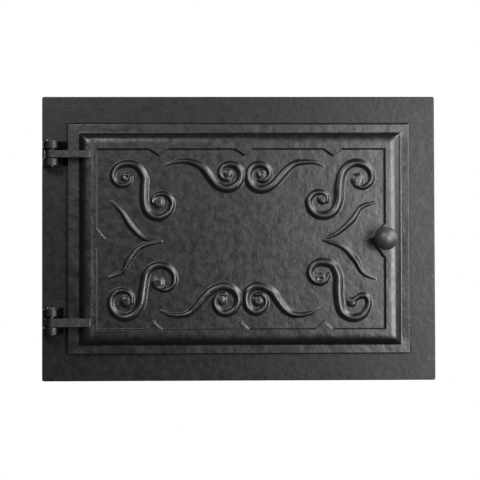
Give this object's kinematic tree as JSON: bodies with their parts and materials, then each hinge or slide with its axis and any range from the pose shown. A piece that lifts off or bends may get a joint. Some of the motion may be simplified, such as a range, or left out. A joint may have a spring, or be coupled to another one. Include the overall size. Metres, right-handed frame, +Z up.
{
  "type": "oven door",
  "caption": "Hinged cast iron oven door in a flat frame plate with a rear collar, scroll relief in a sunk panel, and a turning ball knob that works a latch.",
  "frame": {"origin": "centre of the frame plate's back face, which lies on the wall", "axes": "+X to the right as seen from the front, +Y into the wall, +Z up; the front faces -Y"},
  "size_m": [0.4, 0.0863, 0.2892],
  "materials": {
    "frame_iron": "sand cast, graphite black, semi-matt",
    "door_iron": "sand cast, graphite black, semi-matt",
    "knob_iron": "smooth black, semi-gloss",
    "dark_steel": "blackened mild steel"
  },
  "bodies": {
    "frame": {"frame": "frame_iron", "hinge_pin_upper": "dark_steel", "hinge_pin_lower": "dark_steel"},
    "door": {"door": "door_iron"},
    "latch": {"knob": "knob_iron", "latch_spindle": "dark_steel", "latch_tongue": "dark_steel", "boss_washer": "dark_steel", "nut_washer": "dark_steel", "latch_nut": "dark_steel"}
  },
  "joints": [
    {"name": "door_hinge", "type": "hinge", "parent": "frame", "child": "door", "pos_m": [-0.1893, -0.016, 0], "axis": [0, 0, -1], "range_deg": [0, 170]},
    {"name": "latch_turn", "type": "hinge", "parent": "door", "child": "latch", "pos_m": [0.1465, 0, -0.0009], "axis": [0, -1, 0], "range_deg": [0, 90]}
  ]
}
